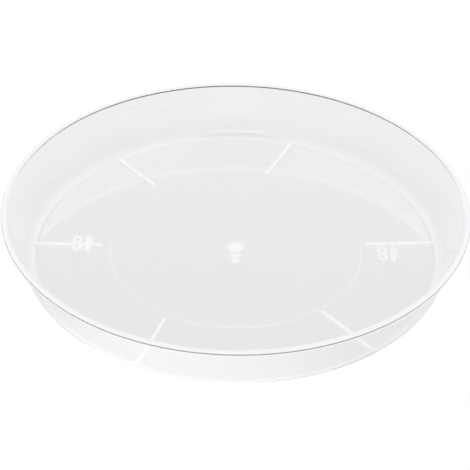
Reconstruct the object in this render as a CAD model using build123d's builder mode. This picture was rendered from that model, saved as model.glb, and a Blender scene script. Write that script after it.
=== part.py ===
"""Clear plant saucer: one thin injection moulding, 180 mm across its rim.

The saucer stands on the table plane z = 0, with its axis on Z and its origin at
the middle of its underside. Every length is in millimetres and every angle in
degrees.
"""

from build123d import *
import os
from math import atan2, cos, degrees, radians, sin, tan

# Overall size
rim_diameter = 180.0
overall_height = 23.0
wall_flare = 7.0  # how far the wall leans out between the table and the lip

# Thickness of the moulding
wall_thickness = 1.0
floor_thickness = 1.1
corner_inner_radius = 4.6  # sweep from the floor up into the wall

# Lip around the rim. Its sharp lower edge is where the two halves of the mould meet.
lip_overhang = 1.6  # how far it stands out from the wall's outer face
lip_thickness = 1.0
lip_crest_width = 0.6  # level stretch beside the mouth
lip_fall = 0.35  # its outer edge lies this much below its crest
lip_edge_radius = 0.5
mouth_chamfer = 0.3  # eased inner edge of the mouth

# Faint ring on the floor, where a round insert of the mould ends: a step you can just feel
ring_diameter = 99.0
ring_step_drop = 0.05  # the middle lies this much lower
ring_step_width = 0.3

# Gate, where the plastic entered the mould: a button in a wide, very shallow hollow,
# and below it a cut stub in a recess, so that the stub can't scratch a table
gate_hollow_diameter = 24.0
gate_hollow_depth = 0.45
gate_level_diameter = 10.0  # level bottom of the hollow
gate_button_diameter = 6.6
gate_button_height = 1.15
gate_recess_diameter = 6.0
gate_recess_depth = 0.5
gate_stub_diameter = 2.4
gate_stub_length = 0.35

# Ribs on the floor, which hold a pot up off the standing water
rib_root_width = 1.4
rib_crest_width = 0.5
rib_crest_radius = 0.4
rib_height = 0.7
rib_nose_length = 1.6  # slope down to the floor at the inner end
rib_bearings = (3.9, 76.6, 128.8, 179.7, 240.1, 310.0)  # of each inner end
rib_turns = (-0.9, -11.4, 0.4, 0.0, 10.4, -0.6)  # away from a true radius
rib_start_shares = (0.05, 0.11, 0.15, 0.085, 0.05, 0.01)  # of the way from ring to corner

# Places on the wall follow from its foot, its lean and its thickness
rim_radius = rim_diameter / 2
lip_root = rim_radius - lip_overhang
lip_underside = overall_height - lip_fall - lip_thickness
foot_radius = lip_root - wall_flare
wall_lean = degrees(atan2(wall_flare, lip_underside))


def wall_radius(height, depth):
    """Radius at a height, for a depth of plastic in from the wall's outer face."""
    return foot_radius + height * tan(radians(wall_lean)) - depth / cos(radians(wall_lean))


inner_corner = wall_radius(floor_thickness, wall_thickness)
corner_setback = corner_inner_radius * tan(radians(90 - wall_lean) / 2)
flat_floor_radius = inner_corner - corner_setback
mouth_corner = wall_radius(overall_height, wall_thickness)

# The floor is a hair thinner inside the ring
middle_floor = floor_thickness - ring_step_drop
ring_outer = (ring_diameter + ring_step_width) / 2
ring_inner = (ring_diameter - ring_step_width) / 2

hollow_half = gate_hollow_diameter / 2
level_half = gate_level_diameter / 2
button_half = gate_button_diameter / 2
recess_half = gate_recess_diameter / 2
stub_half = gate_stub_diameter / 2
hollow_floor = middle_floor - gate_hollow_depth
button_top = hollow_floor + gate_button_height
stub_end = gate_recess_depth - gate_stub_length


def corner_at(outline, radius, height):
    """The corner of an outline that lies nearest to a place."""
    return outline.vertices().sort_by_distance(Vector(radius, height))[0]


# Dish: one section turned about Z. It runs from the gate outwards along the
# underside, up the wall, over the lip, and back across the floor to the gate.
with BuildPart() as dish:
    with BuildSketch(Plane.XZ) as section:
        with BuildLine():
            Polyline(
                (0, stub_end),
                (stub_half, stub_end),
                (stub_half, gate_recess_depth),
                (recess_half, gate_recess_depth),
                (recess_half, 0),
                (foot_radius, 0),
                (lip_root, lip_underside),
                (rim_radius, lip_underside),
                (rim_radius, lip_underside + lip_thickness),
                (mouth_corner + lip_crest_width, overall_height),
                (mouth_corner, overall_height),
                (inner_corner, floor_thickness),
                (ring_outer, floor_thickness),
                (ring_inner, middle_floor),
                (hollow_half, middle_floor),
                (level_half, hollow_floor),
                (button_half, hollow_floor),
                (button_half, button_top),
                (0, button_top),
                close=True,
            )
        make_face()
        foot = corner_at(section, foot_radius, 0)
        fillet(foot, radius=corner_inner_radius + wall_thickness)
        sweep_up = corner_at(section, inner_corner, floor_thickness)
        fillet(sweep_up, radius=corner_inner_radius)
        lip_edge = corner_at(section, rim_radius, lip_underside + lip_thickness)
        fillet(lip_edge, radius=lip_edge_radius)
        mouth = corner_at(section, mouth_corner, overall_height)
        chamfer(mouth, length=mouth_chamfer)
    revolve(axis=Axis.Z)

# Rib: a tapered bar along +X, sunk half way into the floor, with a sloping nose
rib_root = floor_thickness / 2
rib_crest = floor_thickness + rib_height

with BuildPart() as rib:
    with BuildSketch(Plane.YZ) as rib_section:
        with BuildLine():
            Polyline(
                (-rib_root_width / 2, rib_root),
                (rib_root_width / 2, rib_root),
                (rib_root_width / 2, floor_thickness),
                (rib_crest_width / 2, rib_crest),
                (-rib_crest_width / 2, rib_crest),
                (-rib_root_width / 2, floor_thickness),
                close=True,
            )
        make_face()
        fillet(rib_section.vertices().group_by(Axis.Y)[-1], radius=rib_crest_radius)
    extrude(amount=rim_radius)
    with BuildSketch(Plane.XZ):
        with BuildLine():
            Polyline(
                (0, floor_thickness),
                (rib_nose_length, rib_crest),
                (0, rib_crest),
                close=True,
            )
        make_face()
    extrude(amount=rib_root_width, both=True, mode=Mode.SUBTRACT)

# Six ribs, each run out to the middle of the plastic in the corner and the wall
rib_room = flat_floor_radius - ring_outer
mid_corner = wall_radius(rib_root, wall_thickness / 2)
mid_wall_top = wall_radius(lip_underside, wall_thickness / 2)

with BuildPart() as ribs:
    for bearing, turn, start_share in zip(rib_bearings, rib_turns, rib_start_shares):
        start = ring_outer + start_share * rib_room
        place = (start * cos(radians(bearing)), start * sin(radians(bearing)), 0)
        with Locations(Location(place, (0, 0, bearing + turn))):
            add(rib.part)
    with BuildSketch(Plane.XZ) as reach:
        with BuildLine():
            Polyline(
                (0, rib_root),
                (mid_corner, rib_root),
                (mid_wall_top, lip_underside),
                (0, lip_underside),
                close=True,
            )
        make_face()
        reach_foot = corner_at(reach, mid_corner, rib_root)
        fillet(reach_foot, radius=corner_inner_radius + wall_thickness / 2)
    revolve(axis=Axis.Z, mode=Mode.INTERSECT)

# The mould fills all of it in one shot, so dish and ribs are one piece
with BuildPart() as saucer:
    add(dish.part)
    add(ribs.part)

saucer.part.label = "saucer"
os.makedirs("parts", exist_ok=True)
export_step(saucer.part, "parts/saucer.step")
print("saucer volume", round(saucer.part.volume), "cubic mm, solids", len(saucer.solids()))
print("flat floor radius", round(flat_floor_radius, 2), "wall lean", round(wall_lean, 2))
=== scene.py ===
# %% [markdown]
# # A clear plant saucer
#
# The saucer is one injection moulding in clear plastic: a thin floor, a flared
# wall, a lip, six small ribs and the mark of the gate where the plastic came in.
# Nothing on it is coloured. All that the eye gets is what its edges and curves do
# to the light of the room, so the shape and the light matter more than any paint.
#
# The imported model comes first, as a fixed frame. Its box says how wide and how
# tall the saucer may be, and every later place is worked out from that.

import math

import bmesh
import bpy
from mathutils import Matrix, Vector


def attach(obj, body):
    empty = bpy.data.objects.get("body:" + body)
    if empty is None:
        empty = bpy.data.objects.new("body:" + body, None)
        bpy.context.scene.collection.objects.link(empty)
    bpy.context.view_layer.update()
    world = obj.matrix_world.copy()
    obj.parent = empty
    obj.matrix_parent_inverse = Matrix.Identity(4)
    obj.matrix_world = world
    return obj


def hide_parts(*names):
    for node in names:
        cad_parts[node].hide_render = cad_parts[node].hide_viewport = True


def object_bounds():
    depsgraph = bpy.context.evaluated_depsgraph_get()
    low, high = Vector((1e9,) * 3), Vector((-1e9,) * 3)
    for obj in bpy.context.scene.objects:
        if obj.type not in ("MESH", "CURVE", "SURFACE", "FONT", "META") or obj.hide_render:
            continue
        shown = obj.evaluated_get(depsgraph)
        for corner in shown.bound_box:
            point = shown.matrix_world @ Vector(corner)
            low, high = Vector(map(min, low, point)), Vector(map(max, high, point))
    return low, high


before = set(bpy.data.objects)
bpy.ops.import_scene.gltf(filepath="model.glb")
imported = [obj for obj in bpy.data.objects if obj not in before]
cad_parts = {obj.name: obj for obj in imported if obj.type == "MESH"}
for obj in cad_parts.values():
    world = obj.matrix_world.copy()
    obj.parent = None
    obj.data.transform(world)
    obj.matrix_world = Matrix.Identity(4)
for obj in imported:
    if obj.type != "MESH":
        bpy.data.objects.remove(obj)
cad_low, cad_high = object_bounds()
scene = bpy.context.scene

MM = 0.001  # one millimetre, in Blender's metres
rim_radius = cad_high.x
overall_height = cad_high.z
print("rim radius", round(rim_radius / MM, 2), "mm, height", round(overall_height / MM, 2), "mm")

# %% [markdown]
# ## Small helpers
#
# A finish is a little machine of nodes, and a moulding is several meshes joined.
# Both take a few lines again and again, so those lines get names here. Adding
# each node by hand in the editor gives the same result, but in a script the names
# keep the recipe short enough to read.

# %% Helpers for nodes and objects


def add_node(tree, kind, **settings):
    """Add a shader node and set its own options."""
    made = tree.nodes.new("ShaderNode" + kind)
    for name, value in settings.items():
        setattr(made, name, value)
    return made


def set_inputs(tree, sockets, values):
    """Fill sockets in turn, each with a plain value or another node's output."""
    for socket, value in zip(sockets, values):
        if isinstance(value, bpy.types.NodeSocket):
            tree.links.new(value, socket)
        else:
            socket.default_value = value


def add_math(tree, operation, *values):
    """Add a Math node."""
    made = add_node(tree, "Math", operation=operation)
    set_inputs(tree, made.inputs, values)
    return made.outputs[0]


def add_length(tree, vector):
    """How long a vector is."""
    made = add_node(tree, "VectorMath", operation="LENGTH")
    tree.links.new(vector, made.inputs[0])
    return made.outputs["Value"]


def add_range(tree, value, start, end, low=0.0, high=1.0, easing="SMOOTHSTEP"):
    """Turn the stretch of a value from start to end into one from low to high."""
    made = add_node(tree, "MapRange", interpolation_type=easing)
    names = ("Value", "From Min", "From Max", "To Min", "To Max")
    set_inputs(tree, [made.inputs[name] for name in names], (value, start, end, low, high))
    return made.outputs["Result"]


def add_mix(tree, share, first, second):
    """Blend two colours by the second one's share."""
    made = add_node(tree, "MixRGB")
    set_inputs(tree, made.inputs, (share, first, second))
    return made.outputs[0]


def add_ramp(tree, along, stops):
    """Brightness that follows a list of stops, each a position and a level."""
    ramp = add_node(tree, "ValToRGB")
    elements = ramp.color_ramp.elements
    while len(elements) < len(stops):
        elements.new(0.5)  # the next lines move it to its place
    for element, (position, level) in zip(elements, stops):
        element.position = position
        element.color = (level, level, level, 1)
    tree.links.new(along, ramp.inputs["Fac"])
    return ramp.outputs["Color"]


def add_object(name, mesh):
    """Put a mesh in the scene at the origin, unturned and unscaled."""
    made = bpy.data.objects.new(name, mesh)
    scene.collection.objects.link(made)
    return made


def evaluated_mesh(made):
    """The plain mesh that an object's curve or modifiers give."""
    bpy.context.view_layer.update()
    ready = made.evaluated_get(bpy.context.evaluated_depsgraph_get())
    return bpy.data.meshes.new_from_object(ready)


def open_edges(bm):
    """How many edges do not lie between exactly two faces: none, in a closed solid."""
    return sum(not edge.is_manifold for edge in bm.edges)


# %% [markdown]
# ## Clear plastic
#
# The real saucer is polished polystyrene or something like it. Glass in Blender is
# a Principled shader with its transmission turned right up. A perfect one looks
# like a drawing, because real mouldings are never quite flat: the floor sinks a
# few hundredths of a millimetre as it cools, and the plastic leaves faint waves
# that run outwards from the gate. Both are too small to model, and both show,
# because they bend what the floor mirrors. So they go into a bump, in real sizes.
# Handling leaves a few duller patches, which go into the roughness.

# %% Clear plastic
plastic_ior = 1.53
plastic_tint = (0.99, 0.99, 0.99, 1)

sink_period = 42 * MM  # from one shallow hollow in the floor to the next
sink_depth = 0.05 * MM
sink_detail = 1
flow_streaks = 5.0  # how finely the flow fans out around the gate
flow_reach = rim_radius / 2  # distance from the gate over which the streaks change
flow_depth = 0.012 * MM
flow_detail = 2
scuff_period = 9 * MM
scuff_detail = 6
scuff_start = 0.45  # level of the noise where a scuff begins
scuff_end = 0.75
polish_roughness = 0.008
scuff_roughness = 0.05


def surface_noise(tree, vector, scale, detail):
    """Noise between 0 and 1 over the surface."""
    noise = add_node(tree, "TexNoise")
    noise.inputs["Scale"].default_value = scale
    noise.inputs["Detail"].default_value = detail
    tree.links.new(vector, noise.inputs["Vector"])
    return noise.outputs["Fac"]


def flow_vector(tree, place):
    """A direction from the gate, with the distance as its third part."""
    flat = add_node(tree, "VectorMath", operation="MULTIPLY")
    flat.inputs[1].default_value = (1, 1, 0)
    tree.links.new(place, flat.inputs[0])
    outwards = add_node(tree, "VectorMath", operation="NORMALIZE")
    tree.links.new(flat.outputs[0], outwards.inputs[0])
    split = add_node(tree, "SeparateXYZ")
    tree.links.new(outwards.outputs[0], split.inputs[0])
    joined = add_node(tree, "CombineXYZ")
    tree.links.new(split.outputs["X"], joined.inputs["X"])
    tree.links.new(split.outputs["Y"], joined.inputs["Y"])
    along = add_math(tree, "MULTIPLY", add_length(tree, flat.outputs[0]), 1 / flow_reach)
    tree.links.new(along, joined.inputs["Z"])
    return joined.outputs[0]


def add_bump(tree, height, depth, below=None):
    """A bump whose height of 1 stands for a real depth."""
    bump = add_node(tree, "Bump")
    bump.inputs["Strength"].default_value = 1
    bump.inputs["Distance"].default_value = depth
    tree.links.new(height, bump.inputs["Height"])
    if below:
        tree.links.new(below, bump.inputs["Normal"])
    return bump.outputs["Normal"]


def clear_saucer_plastic():
    """Polished clear plastic, with the faint waves that moulding leaves in it."""
    material = bpy.data.materials.new("clear_saucer_plastic")
    material.use_nodes = True
    tree = material.node_tree
    shader = tree.nodes["Principled BSDF"]
    shader.inputs["Base Color"].default_value = plastic_tint
    shader.inputs["Transmission Weight"].default_value = 1
    shader.inputs["IOR"].default_value = plastic_ior
    place = add_node(tree, "TexCoord").outputs["Object"]
    sinks = surface_noise(tree, place, 1 / sink_period, sink_detail)
    flow = surface_noise(tree, flow_vector(tree, place), flow_streaks, flow_detail)
    waves = add_bump(tree, flow, flow_depth, add_bump(tree, sinks, sink_depth))
    tree.links.new(waves, shader.inputs["Normal"])
    scuffs = surface_noise(tree, place, 1 / scuff_period, scuff_detail)
    roughness = add_range(
        tree, scuffs, scuff_start, scuff_end, polish_roughness, scuff_roughness, easing="LINEAR",
    )
    tree.links.new(roughness, shader.inputs["Roughness"])
    return material


# %% [markdown]
# ## Dull plastic
#
# The ribs, the left numeral and the gate look whiter than the floor. Such small
# hollows are burnt into the mould by sparks and not polished afterwards, so the
# plastic comes out of them with a fine matte grain. It is the same plastic with a
# rough skin. Painting these parts white would be simpler, but they would look like
# stickers from the side. A high roughness and a fine grain scatter the light of
# the table and the sky as the real ones do. The gate is a little smoother, because
# a hot nozzle has touched it.
#
# The lip is dull too, because the ring that pushes the saucer off the mould rubs
# on it. The right numeral is hazy, as if its hollow in the mould were half
# polished. A tongue of the same haze in front of the gate is painted light, a
# pale streak of light laid before the button. What is rubbed or hazed still lets
# some light through.

# %% Dull plastic
grain_period = 0.35 * MM
grain_depth = 0.012 * MM
grain_detail = 2
sparked = {"tint": 0.84, "roughness": 0.5, "clearness": 0.0}
worn = {"tint": 0.83, "roughness": 0.45, "clearness": 0.0}
rubbed = {"tint": 0.84, "roughness": 0.35, "clearness": 0.1}
# real haze on the right numeral, and painted light in the pale tongue before the gate
hazed_and_painted_light = {"tint": 0.94, "roughness": 0.3, "clearness": 0.55}


def dull_saucer_plastic(name, tint, roughness, clearness):
    """The same plastic with a rough skin. What isn't clear scatters light back."""
    material = bpy.data.materials.new(name)
    material.use_nodes = True
    tree = material.node_tree
    shader = tree.nodes["Principled BSDF"]
    shader.inputs["Base Color"].default_value = (tint, tint, tint, 1)
    shader.inputs["Transmission Weight"].default_value = clearness
    shader.inputs["IOR"].default_value = plastic_ior
    shader.inputs["Roughness"].default_value = roughness
    place = add_node(tree, "TexCoord").outputs["Object"]
    grain = surface_noise(tree, place, 1 / grain_period, grain_detail)
    tree.links.new(add_bump(tree, grain, grain_depth), shader.inputs["Normal"])
    return material


clear = clear_saucer_plastic()
matte = dull_saucer_plastic("matte_saucer_plastic", **sparked)
gate_finish = dull_saucer_plastic("worn_saucer_plastic", **worn)
lip_finish = dull_saucer_plastic("rubbed_saucer_plastic", **rubbed)
haze_and_painted_light = dull_saucer_plastic("hazed_and_painted_light_plastic", **hazed_and_painted_light)
print("finishes made:", ", ".join(m.name for m in (clear, matte, gate_finish, lip_finish, haze_and_painted_light)))

# %% [markdown]
# ## The section
#
# A saucer is a round thing, so half of its section, turned about the axis, gives
# all of it but the ribs. The section could be drawn as one long list of points,
# but then nobody could see which point does what. Here it is a wire with one
# vertex for each corner that a mould maker would draw, and each corner that is
# round on the real saucer is then bevelled to its own radius.

# %% Sizes of the dish
wall_thickness = 1.0 * MM
floor_thickness = 1.1 * MM
wall_flare = 7.0 * MM  # how far the wall leans out between the table and the lip
corner_radius = 4.6 * MM  # sweep from the floor up into the wall

lip_overhang = 1.6 * MM
lip_thickness = 1.0 * MM
lip_fall = 0.35 * MM  # the lip's outer edge lies this much below its crest
lip_crest_width = 0.6 * MM
lip_edge_radius = 0.5 * MM
lip_lower_edge_radius = 0.25 * MM
lip_root_radius = 0.4 * MM
mouth_radius = 0.3 * MM

ring_radius = 49.5 * MM  # a faint step, where a round insert of the mould ends
ring_step_width = 0.9 * MM
ring_step_drop = 0.14 * MM  # the middle lies this much lower beside the ring
sink_radius = 42.5 * MM  # inside this the middle has sunk a little more
sink_drop = 0.1 * MM
sink_easing = 60 * MM  # radius of the soft bend where that begins

lip_root = rim_radius - lip_overhang
lip_top = overall_height - lip_fall  # of its outer edge
lip_underside = lip_top - lip_thickness
foot_radius = lip_root - wall_flare
wall_lean = math.atan2(wall_flare, lip_underside)


def wall_radius(height, depth):
    """Radius at a height, for a depth of plastic in from the wall's outer face."""
    return foot_radius + height * math.tan(wall_lean) - depth / math.cos(wall_lean)


inner_corner = wall_radius(floor_thickness, wall_thickness)
mouth_corner = wall_radius(overall_height, wall_thickness)
corner_setback = corner_radius * math.tan((math.pi / 2 - wall_lean) / 2)
flat_floor_radius = inner_corner - corner_setback
ring_floor = floor_thickness - ring_step_drop
middle_floor = ring_floor - sink_drop
print("wall leans out", round(math.degrees(wall_lean), 1), "degrees")

# %% [markdown]
# ## The gate
#
# The plastic enters the mould through a small hole in the middle, the gate. It
# leaves a button on top, in a hollow so wide and shallow that only a slight change
# in what it mirrors gives it away. Below, the gate's cut stub lies in a recess, so
# that it can't scratch a table. All of it belongs to the section, so it costs a
# few corners and no parts of its own.

# %% Sizes of the gate mark
gate_hollow_radius = 10.5 * MM
gate_hollow_depth = 0.32 * MM
gate_level_radius = 4.6 * MM
gate_button_radius = 3.3 * MM
gate_button_height = 1.15 * MM
gate_button_easing = 0.6 * MM
gate_recess_radius = 3.0 * MM
gate_recess_depth = 0.5 * MM
gate_stub_radius = 1.2 * MM
gate_stub_length = 0.35 * MM

hollow_floor = middle_floor - gate_hollow_depth
button_top = hollow_floor + gate_button_height
stub_end = gate_recess_depth - gate_stub_length
print("plastic left under the hollow", round(hollow_floor / MM, 2), "mm")

# %% [markdown]
# The ring's step and the slope of the gate's hollow get extra corners between
# their ends. The shading later gives large faces more say than small ones, and a
# slope that is only one narrow face would take on the level of the floor beside it.

# %% Draw the section as a wire of corners
sweep_segments = 20  # flat pieces in the arc between floor and wall
mouth_segments = 12
edge_segments = 10
soft_segments = 8
small_segments = 6
crest_segments = 4
ring_step_shares = (1 / 3, 2 / 3)  # of the way down the step
gate_slope_shares = (0.2, 0.4, 0.6, 0.8)  # of the way down into the hollow

section = bmesh.new()
rounded = []


def corner(radius, height, rounding=0.0, segments=small_segments):
    """Add the section's next corner, and remember how round it is."""
    vertex = section.verts.new((radius, 0, height))
    section.verts.ensure_lookup_table()
    if len(section.verts) > 1:
        section.edges.new((section.verts[-2], vertex))
    if rounding:
        rounded.append((vertex.co.copy(), rounding, segments))


ring_inner = ring_radius - ring_step_width / 2
ring_outer = ring_radius + ring_step_width / 2
gate_slope_width = gate_hollow_radius - gate_level_radius

corner(0, stub_end)
corner(gate_stub_radius, stub_end)
corner(gate_stub_radius, gate_recess_depth)
corner(gate_recess_radius, gate_recess_depth)
corner(gate_recess_radius, 0)
corner(foot_radius, 0, corner_radius + wall_thickness, sweep_segments)
corner(lip_root, lip_underside, lip_root_radius)
corner(rim_radius, lip_underside, lip_lower_edge_radius)
corner(rim_radius, lip_top, lip_edge_radius, edge_segments)
corner(mouth_corner + lip_crest_width, overall_height, lip_crest_width, crest_segments)
corner(mouth_corner, overall_height, mouth_radius, mouth_segments)
corner(inner_corner, floor_thickness, corner_radius, sweep_segments)
corner(ring_outer, floor_thickness)
for share in ring_step_shares:
    corner(ring_outer - share * ring_step_width, floor_thickness - share * ring_step_drop)
corner(ring_inner, ring_floor)
corner(sink_radius, middle_floor, sink_easing, soft_segments)
corner(gate_hollow_radius, middle_floor)
for share in gate_slope_shares:
    corner(gate_hollow_radius - share * gate_slope_width, middle_floor - share * gate_hollow_depth)
corner(gate_level_radius, hollow_floor)
corner(gate_button_radius, hollow_floor)
corner(gate_button_radius, button_top, gate_button_easing, soft_segments)
corner(0, button_top)
print("corners drawn", len(section.verts), "of which rounded", len(rounded))

# %% [markdown]
# A vertex bevel measures how far it cuts back along the edges, not the radius of
# the arc it leaves. For a corner whose edges meet at an angle, that cut is the
# radius divided by the tangent of half the angle.

# %% Round the corners
for place, rounding, segments in rounded:
    vertex = min(section.verts, key=lambda v: (v.co - place).length)
    ways = [(edge.other_vert(vertex).co - vertex.co).normalized() for edge in vertex.link_edges]
    setback = rounding / math.tan(ways[0].angle(ways[1]) / 2)
    bmesh.ops.bevel(
        section, geom=[vertex], affect="VERTICES", offset_type="OFFSET",
        offset=setback, segments=segments, profile=0.5, material=-1,
    )
print("points in the rounded section", len(section.verts))

# %% [markdown]
# The spin turns the wire once round the axis. Its ends lie on the axis, so each
# leaves a heap of vertices there, and merging them closes the two poles. The dull
# faces get their own finish while they are easy to find. Those of the gate are all
# that lies within the button's radius on top, or the recess's below. Those of the
# lip are all above its outer edge. A hazed tongue in front of the gate is painted
# light, a streak of light laid into the finish.

# %% Turn the section into the dish
spin_steps = 360
weld = 0.0001 * MM  # vertices nearer to each other than this are one
# painted light: a hazed tongue before the gate that stands in for a streak of light
light_streak_length = 9.5 * MM  # from the axis, towards -Y
light_streak_half_width = 2.3 * MM
light_streak_taper_share = 0.5  # how much of that width it has lost at its end

bmesh.ops.spin(
    section, geom=list(section.verts) + list(section.edges), cent=(0, 0, 0),
    axis=(0, 0, 1), angle=math.tau, steps=spin_steps, use_merge=True,
)
bmesh.ops.remove_doubles(section, verts=section.verts, dist=weld)
bmesh.ops.recalc_face_normals(section, faces=section.faces)
finishes = (clear, gate_finish, lip_finish, haze_and_painted_light)


def finish_at(place):
    """The finish of the dish's skin at a place on it."""
    on_top = place.z > hollow_floor - weld
    if place.xy.length < (gate_button_radius if on_top else gate_recess_radius) + weld:
        return gate_finish
    if place.z > lip_top - weld:
        return lip_finish
    # the painted streak of light in front of the gate
    narrowing = 1 + light_streak_taper_share * place.y / light_streak_length
    if on_top and -light_streak_length < place.y < 0 and abs(place.x) < light_streak_half_width * narrowing:
        return haze_and_painted_light
    return clear


for face in section.faces:
    face.material_index = finishes.index(finish_at(face.calc_center_median()))
dish_mesh = bpy.data.meshes.new("dish")
section.to_mesh(dish_mesh)
print("faces", len(section.faces), "open edges", open_edges(section))
section.free()

for finish in finishes:
    dish_mesh.materials.append(finish)

# %% [markdown]
# ## Ribs
#
# Six low ribs keep a pot's base up out of the standing water. Each is a bar that
# narrows upwards, so that it leaves the mould, slopes down at its inner end and
# dies into the sweep of the wall at its outer end. They are not quite evenly
# spaced, and some are a few degrees off a true radius, so each has its own
# bearing and turn. A bar starts as a cube along the X axis: its top is drawn in,
# its ends are slanted and the edges of its top are bevelled. Its sides taper from
# its very bottom, and a deep root would leave them too steep where they show, so
# it reaches only a hair down into the floor.

# %% Ribs
rib_root_width = 1.6 * MM
rib_crest_width = 0.8 * MM
rib_crest_cut = 0.3 * MM  # how far the bevel cuts back
rib_crest_segments = 5
rib_height = 0.7 * MM
rib_sink = 0.12 * MM  # how far a bar reaches down into the floor
rib_nose_length = 1.6 * MM
rib_bearings = (3.9, 76.6, 128.8, 179.7, 240.1, 310.0)  # of each inner end, in degrees
rib_turns = (-0.9, -11.4, 0.4, 0.0, 10.4, -0.6)  # away from a true radius, in degrees
rib_start_shares = (0.05, 0.11, 0.15, 0.085, 0.05, 0.01)  # of the way from ring to corner

rib_root = floor_thickness - rib_sink
rib_crest = floor_thickness + rib_height


def middle_of_corner(height):
    """Radius of the middle of the plastic where the floor sweeps up into the wall."""
    middle = corner_radius + wall_thickness / 2
    drop = floor_thickness + corner_radius - height
    return flat_floor_radius + math.sqrt(middle**2 - min(drop, middle) ** 2)


def rib_bar(start, bearing, turn):
    """One rib, from its start out to the middle of the plastic in the corner."""
    bearing_angle, turn_angle = math.radians(bearing), math.radians(turn)
    across = start * math.sin(turn_angle)
    ends = []
    for height in (rib_root, rib_crest):
        reach = math.sqrt(middle_of_corner(height) ** 2 - across**2)
        ends.append(reach - start * math.cos(turn_angle))
    low_end, high_end = ends
    bm = bmesh.new()
    bmesh.ops.create_cube(bm, size=1)
    bmesh.ops.translate(bm, verts=bm.verts, vec=(0.5, 0, 0.5))
    bmesh.ops.scale(bm, verts=bm.verts, vec=(low_end, rib_root_width, rib_crest - rib_root))
    bmesh.ops.translate(bm, verts=bm.verts, vec=(0, 0, rib_root))
    crest = [v for v in bm.verts if v.co.z > floor_thickness]
    bmesh.ops.scale(bm, verts=crest, vec=(1, rib_crest_width / rib_root_width, 1))
    nose = [v for v in crest if v.co.x < low_end / 2]
    end = [v for v in crest if v.co.x > low_end / 2]
    bmesh.ops.translate(bm, verts=nose, vec=(rib_nose_length, 0, 0))
    bmesh.ops.translate(bm, verts=end, vec=(high_end - low_end, 0, 0))
    top = [edge for edge in bm.edges if all(v in crest for v in edge.verts)]
    bmesh.ops.bevel(
        bm, geom=top, affect="EDGES", offset_type="OFFSET",
        offset=rib_crest_cut, segments=rib_crest_segments, profile=0.5, material=-1,
    )
    place = Vector((math.cos(bearing_angle), math.sin(bearing_angle), 0)) * start
    turned = Matrix.Rotation(bearing_angle + turn_angle, 4, "Z")
    bmesh.ops.transform(bm, matrix=Matrix.Translation(place) @ turned, verts=bm.verts)
    return bm


def gather(name, parts, material):
    """Collect several solids in one mesh with one finish."""
    whole = bmesh.new()
    for part in parts:
        spare = bpy.data.meshes.new("spare")
        part.to_mesh(spare)
        part.free()
        whole.from_mesh(spare)
        bpy.data.meshes.remove(spare)
    bmesh.ops.recalc_face_normals(whole, faces=whole.faces)
    mesh = bpy.data.meshes.new(name)
    whole.to_mesh(mesh)
    print(name, "faces", len(whole.faces), "open edges", open_edges(whole))
    whole.free()
    mesh.materials.append(material)
    return mesh


rib_room = flat_floor_radius - ring_outer
bars = [
    rib_bar(ring_outer + share * rib_room, bearing, turn)
    for bearing, turn, share in zip(rib_bearings, rib_turns, rib_start_shares)
]
ribs_mesh = gather("rib_bars", bars, matte)

# %% [markdown]
# ## Numerals
#
# The saucer's width in centimetres, 18, stands on the floor at both sides, as low
# as a coat of paint. It is there to be read from below, through the plastic, so
# from above it is mirrored. As text objects the digits would only touch the
# floor. Made into solids that sink into it, they can become part of the skin. The
# 8 comes from Blender's own plain font, made bolder, because small moulded digits
# have broad strokes. The 1 of that font is a bare bar, so this one is drawn, with
# the flag that a 1 needs. The left pair is matte, and the right pair hazed,
# because it is the fainter of the two.

# %% Numerals
numeral_height = 9.6 * MM
numeral_rise = 0.2 * MM
numeral_gap = 0.9 * MM
eight_width = 4.4 * MM
eight_boldness_share = 0.026  # of the font's size, added all round the stroke
eight_weld_share = 0.0001  # of the font's size
eight_curve_steps = 6
one_width = 3.1 * MM
one_stroke = 1.8 * MM
flag_drop = 1.9 * MM
numeral_places = ((-60.3 * MM, 1.2 * MM), (59.6 * MM, -2.5 * MM))  # middle of each pair
numeral_bottom = floor_thickness - numeral_rise  # as deep in the floor as they stand out
numeral_top = floor_thickness + numeral_rise


def fit_into(bm, low_corner, high_corner):
    """Move and stretch a solid until its box has these two corners."""
    low = Vector(min(v.co[i] for v in bm.verts) for i in range(3))
    high = Vector(max(v.co[i] for v in bm.verts) for i in range(3))
    wanted = Vector(high_corner) - Vector(low_corner)
    bmesh.ops.translate(bm, verts=bm.verts, vec=-low)
    bmesh.ops.scale(bm, verts=bm.verts, vec=[w / s for w, s in zip(wanted, high - low)])
    bmesh.ops.translate(bm, verts=bm.verts, vec=low_corner)


def digit_eight():
    """A solid 8 from the plain font."""
    curve = bpy.data.curves.new("eight", "FONT")
    curve.body = "8"
    curve.offset = eight_boldness_share
    curve.resolution_u = eight_curve_steps
    curve.extrude = curve.size / 2  # any depth will do, because fit_into sets the real one
    text = add_object("eight", curve)
    mesh = evaluated_mesh(text)
    bpy.data.objects.remove(text)
    bm = bmesh.new()
    bm.from_mesh(mesh)
    bmesh.ops.remove_doubles(bm, verts=bm.verts, dist=eight_weld_share)
    left = one_width + numeral_gap
    fit_into(bm, (left, 0, numeral_bottom), (left + eight_width, numeral_height, numeral_top))
    return bm


def digit_one():
    """A solid 1: an outline of a stem and its flag, pulled up."""
    stem = one_width - one_stroke
    outline = (
        (stem, 0), (one_width, 0), (one_width, numeral_height), (stem, numeral_height),
        (0, numeral_height - flag_drop), (0, numeral_height - flag_drop - one_stroke),
        (stem, numeral_height - flag_drop),
    )
    bm = bmesh.new()
    corners = [bm.verts.new((x, y, numeral_bottom)) for x, y in outline]
    face = bmesh.ops.contextual_create(bm, geom=corners)["faces"]
    pulled = bmesh.ops.extrude_face_region(bm, geom=face, use_keep_orig=True)["geom"]
    lifted = [v for v in pulled if isinstance(v, bmesh.types.BMVert)]
    bmesh.ops.translate(bm, verts=lifted, vec=(0, 0, numeral_top - numeral_bottom))
    return bm


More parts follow.
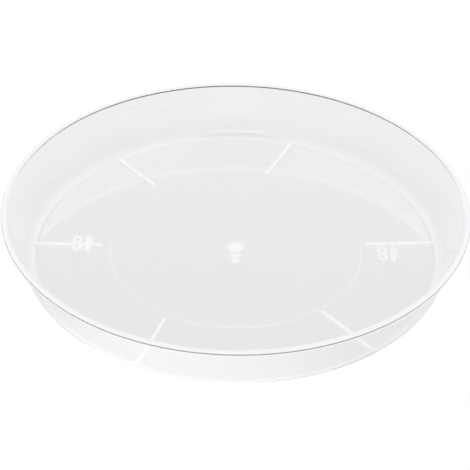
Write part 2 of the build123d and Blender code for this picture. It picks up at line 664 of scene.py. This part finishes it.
def turn_over(bm, place):
    """Centre a digit of the pair on a place, mirrored, so that it reads from below."""
    middle = (one_width + numeral_gap + eight_width) / 2
    bmesh.ops.translate(bm, verts=bm.verts, vec=(-middle, -numeral_height / 2, 0))
    bmesh.ops.scale(bm, verts=bm.verts, vec=(-1, 1, 1))
    bmesh.ops.translate(bm, verts=bm.verts, vec=(*place, 0))
    return bm


numerals = []
for place, finish in zip(numeral_places, (matte, haze_and_painted_light)):
    digits = [turn_over(digit(), place) for digit in (digit_one, digit_eight)]
    numerals.append(gather("numeral_blocks", digits, finish))

# %% [markdown]
# ## One moulding
#
# The plastic fills the whole mould in one shot, so the real saucer has no joint
# anywhere. In clear plastic a rib that merely sat in the floor would show its
# hidden faces, so the bars and the digits are joined to it by exact Booleans,
# which leave one skin. The new faces keep the finish of the solid they came from.

# %% Join them into one moulding
moulding = add_object("moulding", dish_mesh)


def join(mesh):
    """Add a solid to the moulding, and keep the result as plain mesh."""
    tool = add_object("tool", mesh)
    modifier = moulding.modifiers.new("union", "BOOLEAN")
    modifier.operation = "UNION"
    modifier.solver = "EXACT"
    modifier.material_mode = "TRANSFER"
    modifier.object = tool
    joined = evaluated_mesh(moulding)
    moulding.modifiers.clear()
    moulding.data = joined
    bpy.data.objects.remove(tool)


for solid in (ribs_mesh, *numerals):
    join(solid)
matte_slots = {i for i, m in enumerate(moulding.data.materials) if m == matte}
matte_faces = sum(p.material_index in matte_slots for p in moulding.data.polygons)
print("moulding faces", len(moulding.data.polygons), "of which matte", matte_faces)

# %% [markdown]
# Every curve here is made of flat faces, so they are shaded as one smooth skin,
# except across real edges. Long thin faces beside a Boolean cut pull a smooth
# normal out of line, and weighting the normals by face area puts that right.

# %% Shade
sharp_angle = math.radians(28)  # edges that turn by more than this stay sharp
moulding.data.shade_smooth()
moulding.data.set_sharp_from_angle(angle=sharp_angle)
weighting = moulding.modifiers.new("weighted_normals", "WEIGHTED_NORMAL")
weighting.keep_sharp = True

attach(moulding, "root")
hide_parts("saucer")
print("edges sharp above", round(math.degrees(sharp_angle)), "degrees")

# %% [markdown]
# ## The table
#
# The saucer stands on a white sheet. Clear plastic shows mostly what is behind
# it, so the sheet is part of the saucer's look. Most of what the camera sees of
# it, straight or through the plastic, is a plain white glow. Through the plastic
# that glow carries a painted shadow: it is dimmer, most of all in a painted ring
# under the foot of the wall, where so little light gets in. Where the plastic
# mirrors the sheet, a painted pool of light before the saucer makes the front
# wall the brightest part. The rest is paper that the lamps light, and there the
# saucer's own faint shadow falls. Flooding the sheet with lamps would also make
# it white, but would burn out the saucer too.

# %% Table
table_size = 4.0  # from the middle to each side
table_gap = 0.05 * MM
paper_white = 0.95
glow_share = 0.9
painted_shade_reach = 200 * MM
# painted shadow: the glow seen through the plastic, dimmest in a ring under the wall's foot
through_glow_painted_shade = (  # share of that reach from the axis, then strength seen through plastic
    (0.0, 0.885), (0.38, 0.885), (0.42, 0.79), (0.45, 0.8), (0.52, 0.84), (1.0, 0.85),
)
mirrored_glow = 0.8  # strength where the plastic mirrors it
# painted light: a pool in the glow that the plastic mirrors, brightest before the saucer
painted_pool_glow = 1.35  # and this much more in a pool of light before the saucer
painted_pool_place = (-20 * MM, -100 * MM, 0)
painted_pool_start = 10 * MM
painted_pool_end = 85 * MM


def white_table_painted_light():
    """White paper that glows to the camera, with painted shade through the plastic and a painted
    pool of light in its mirror.
    """
    material = bpy.data.materials.new("white_table_painted_light")
    material.use_nodes = True
    tree = material.node_tree
    tree.nodes.clear()
    path = add_node(tree, "LightPath").outputs
    through = path["Is Transmission Ray"]
    not_through = add_math(tree, "SUBTRACT", 1.0, through)
    mirrored = add_math(tree, "MULTIPLY", path["Is Glossy Ray"], not_through)
    place = add_node(tree, "TexCoord").outputs["Object"]
    reach = add_math(tree, "MULTIPLY", add_length(tree, place), 1 / painted_shade_reach)
    from_pool = add_node(tree, "VectorMath", operation="SUBTRACT")
    set_inputs(tree, from_pool.inputs, (place, painted_pool_place))
    # the painted pool of light, full near its place and gone by its end
    painted_pool = add_range(
        tree, add_length(tree, from_pool.outputs[0]), painted_pool_start, painted_pool_end,
        mirrored_glow + painted_pool_glow, mirrored_glow,
    )
    # the painted shadow, taken into the glow of rays that came through the plastic
    through_with_painted_shade = add_math(tree, "MULTIPLY", through, add_ramp(tree, reach, through_glow_painted_shade))
    seen = add_math(tree, "ADD", through_with_painted_shade, path["Is Camera Ray"])
    glow = add_node(tree, "Emission")
    strength = add_math(tree, "MULTIPLY_ADD", mirrored, painted_pool, seen)
    tree.links.new(strength, glow.inputs["Strength"])
    paper = add_node(tree, "BsdfDiffuse")
    paper.inputs["Color"].default_value = (paper_white, paper_white, paper_white, 1)
    share = add_math(tree, "MULTIPLY", add_math(tree, "GREATER_THAN", strength, 0.0), glow_share)
    blend = add_node(tree, "MixShader")
    tree.links.new(share, blend.inputs["Fac"])
    tree.links.new(paper.outputs[0], blend.inputs[1])
    tree.links.new(glow.outputs[0], blend.inputs[2])
    output = add_node(tree, "OutputMaterial")
    tree.links.new(blend.outputs[0], output.inputs["Surface"])
    return material


sheet = bmesh.new()
bmesh.ops.create_grid(sheet, x_segments=1, y_segments=1, size=table_size)
bmesh.ops.translate(sheet, verts=sheet.verts, vec=(0, 0, -table_gap))
table_mesh = bpy.data.meshes.new("table")
sheet.to_mesh(table_mesh)
sheet.free()
table_mesh.materials.append(white_table_painted_light())
table = add_object("table", table_mesh)
print("table reaches", table_size, "m to each side")

# %% [markdown]
# ## Light
#
# Clear things are lit by what they mirror. The floor of the saucer mirrors the
# room behind it at about 36 degrees, and each rounded edge mirrors a slice of the
# whole room. The studio is therefore a sky with bands. Behind the saucer it is
# white near the horizon and darkest between 40 and 45 degrees up. A bright band
# stands 15 to 35 degrees up behind the camera, and a large light on each side. The
# dark band gives the floor its quiet grey and the rim its dark line. The bright
# ones give the thin light lines on the curves. A soft lamp overhead lights the
# paper of the table.

# %% Studio sky
far_sky = (  # height of the ray's direction, then brightness, behind the saucer
    (0.0, 1.0), (0.4, 0.95), (0.48, 0.82), (0.53, 0.6), (0.588, 0.42), (0.643, 0.12),
    (0.7, 0.08), (0.76, 0.45), (0.85, 0.55), (1.0, 0.6),
)
near_sky = (  # the same, on the camera's side
    (0.0, 0.9), (0.15, 1.2), (0.32, 1.8), (0.5, 2.0), (0.62, 1.3), (0.8, 0.4), (1.0, 0.6),
)
side_sky = (  # to the left and the right, where two large lights stand
    (0.0, 1.0), (0.3, 0.95), (0.5, 1.25), (0.9, 1.3), (1.0, 0.9),
)
side_start = 0.14  # how far to the side a direction points where those lights begin
side_end = 0.3
turnover = 0.3  # how far to each side of the middle the near and far skies blend


def studio_sky():
    """A room of soft bands of light, plain white to the camera itself."""
    world = bpy.data.worlds.new("studio_sky")
    world.use_nodes = True
    tree = world.node_tree
    tree.nodes.clear()
    split = add_node(tree, "SeparateXYZ")
    tree.links.new(add_node(tree, "TexCoord").outputs["Generated"], split.inputs[0])
    behind = add_range(tree, split.outputs["Y"], -turnover, turnover)
    near, far, side = (
        add_ramp(tree, split.outputs["Z"], stops) for stops in (near_sky, far_sky, side_sky)
    )
    sideways = add_math(tree, "ABSOLUTE", split.outputs["X"])
    beside = add_range(tree, sideways, side_start, side_end)
    room = add_mix(tree, beside, add_mix(tree, behind, near, far), side)
    seen_plain = add_node(tree, "LightPath").outputs["Is Camera Ray"]
    white = add_mix(tree, seen_plain, room, (1, 1, 1, 1))
    background = add_node(tree, "Background")
    tree.links.new(white, background.inputs["Color"])
    output = add_node(tree, "OutputWorld")
    tree.links.new(background.outputs[0], output.inputs["Surface"])
    return world


scene.world = studio_sky()
print("sky bands behind, in front and at the sides", len(far_sky), len(near_sky), len(side_sky))

# %% Soft lamp
lamp_elevation = math.radians(85)
lamp_distance = 1.2
lamp_width = 0.9
lamp_depth = 0.7
lamp_radiance = 0.6

lamp = bpy.data.lights.new("soft_lamp", "AREA")
lamp.shape = "RECTANGLE"
lamp.size = lamp_width
lamp.size_y = lamp_depth
lamp.energy = lamp_radiance * math.pi * lamp_width * lamp_depth
lamp_object = bpy.data.objects.new("soft_lamp", lamp)
towards_lamp = Vector((0, math.cos(lamp_elevation), math.sin(lamp_elevation)))
lamp_object.location = lamp_distance * towards_lamp
lamp_object.rotation_euler = (lamp_elevation - math.pi / 2, 0, 0)
scene.collection.objects.link(lamp_object)
print("lamp power", round(lamp.energy, 1), "W")

# %% [markdown]
# ## Bounces
#
# Light that enters the edge of a clear plate runs along inside it as in an
# optical fibre, bouncing dozens of times before it leaves. Cycles gives up after
# twelve bounces and returns black, so the ribs and the rim turn to ink. Allowing
# many more costs little here, because almost every ray leaves much sooner.
#
# Cycles also blurs polished surfaces for light that has bounced off a dull one, to
# calm the noise. Around the matte ribs that turns the clear floor dark, so the
# blur is off.

# %% Bounces
clear_bounces = 128
dull_bounces = 64

scene.cycles.max_bounces = clear_bounces
scene.cycles.transmission_bounces = clear_bounces
scene.cycles.glossy_bounces = clear_bounces
scene.cycles.diffuse_bounces = dull_bounces
scene.cycles.blur_glossy = 0
print("bounces allowed", scene.cycles.max_bounces)

# %% [markdown]
# ## Camera
#
# The camera looks down at the saucer from about 36 degrees, some 60 cm away,
# through a long lens. It is turned a hair about each axis, because the picture it
# has to match was not perfectly level.

# %% Camera
camera_place = (0, -0.4975, 0.3715)
camera_pitch = 0.6321  # radians below the horizon
camera_yaw = 0.0005
camera_roll = 0.0153
camera_lens = 120.7  # its focal length, and below the sensor's width, in millimetres
camera_sensor = 36
camera_start = 10 * MM  # it sees nothing nearer than this

camera_data = bpy.data.cameras.new("camera")
camera_data.sensor_width = camera_sensor
camera_data.lens = camera_lens
camera_data.clip_start = camera_start
camera = bpy.data.objects.new("camera", camera_data)
scene.collection.objects.link(camera)
scene.camera = camera
camera.matrix_world = (
    Matrix.Translation(camera_place)
    @ Matrix.Rotation(camera_yaw, 4, "Z")
    @ Matrix.Rotation(math.pi / 2 - camera_pitch, 4, "X")
    @ Matrix.Rotation(camera_roll, 4, "Z")
)
scene.view_settings.view_transform = "Standard"
print("camera looks down", round(math.degrees(camera_pitch), 1), "degrees")
